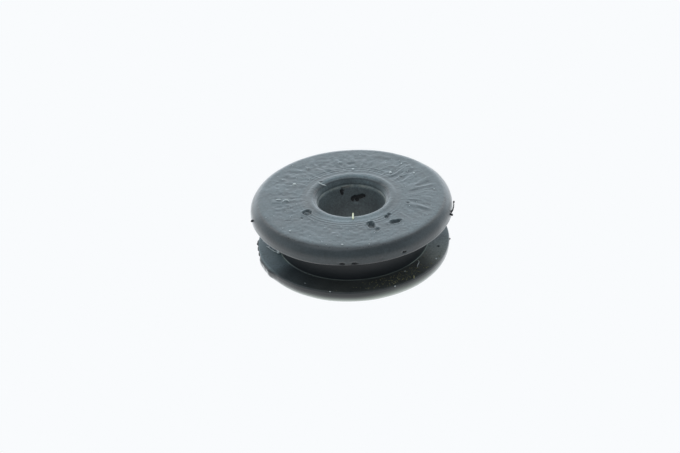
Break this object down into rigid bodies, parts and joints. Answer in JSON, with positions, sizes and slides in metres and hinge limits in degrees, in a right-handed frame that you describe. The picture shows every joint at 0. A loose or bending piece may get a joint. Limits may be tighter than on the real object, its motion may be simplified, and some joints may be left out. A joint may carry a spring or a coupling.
{
  "type": "rubber grommet",
  "caption": "Round moulded rubber grommet that lines a hole in a panel and protects a cable: a wide flange, a groove for the panel's edge, a slightly smaller flange and a plain through bore.",
  "frame": {"origin": "on the bore's axis, at the bottom face that the grommet rests on", "axes": "+Z along the bore's axis, from the smaller bottom flange to the larger top flange; X and Y are across the flanges"},
  "size_m": [0.024, 0.024, 0.008],
  "materials": {
    "rubber": "moulded matt, dusty and worn"
  },
  "bodies": {
    "root": {"grommet": "rubber"}
  },
  "joints": []
}
